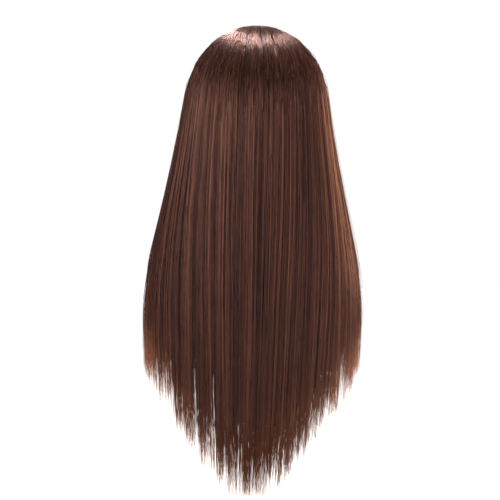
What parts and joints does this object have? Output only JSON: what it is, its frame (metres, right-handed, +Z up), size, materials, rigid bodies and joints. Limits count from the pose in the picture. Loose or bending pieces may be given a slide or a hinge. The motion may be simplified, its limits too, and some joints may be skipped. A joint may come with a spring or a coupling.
{
  "type": "mannequin training head",
  "caption": "Hairdressing practice head with a moulded face, a rooted scalp and long straight hair that hangs below the neck, and a post socket in the neck.",
  "frame": {"origin": "centre of the holder socket's mouth, on the underside of the neck", "axes": "+Z up through the head, -Y the way the face looks, +X the head's own left"},
  "size_m": [0.2442, 0.2183, 0.5331],
  "materials": {
    "skin_vinyl": "soft moulded vinyl, satin, with painted lips and brows",
    "scalp_vinyl": "soft vinyl with rooted fibre",
    "core_foam": "rigid foam",
    "socket_plastic": "moulded, fine grain",
    "base_plastic": "moulded, fine grain",
    "screw_steel": "zinc plated",
    "eye_white": "cast acrylic, polished",
    "iris": "printed disc",
    "cornea_acrylic": "clear cast acrylic, polished",
    "lash_fibre": "fine black fibre on a glued strip",
    "hair_fibre": "long straight brown fibre, glossy"
  },
  "bodies": {
    "root": {"face_skin": "skin_vinyl", "scalp_cap": "scalp_vinyl", "foam_core": "core_foam", "clamp_socket": "socket_plastic", "neck_base": "base_plastic", "socket_screws": "screw_steel", "eyeball_left": "eye_white", "eyeball_right": "eye_white", "iris_left": "iris", "iris_right": "iris", "cornea_left": "cornea_acrylic", "cornea_right": "cornea_acrylic", "lashes_left": "lash_fibre", "lashes_right": "lash_fibre", "hair_back_left": "hair_fibre", "hair_back_side_left": "hair_fibre", "hair_side_left": "hair_fibre", "hair_front_left": "hair_fibre", "hair_back_right": "hair_fibre", "hair_back_side_right": "hair_fibre", "hair_side_right": "hair_fibre", "hair_front_right": "hair_fibre", "hair_nape_left": "hair_fibre", "hair_nape_right": "hair_fibre"}
  },
  "joints": []
}
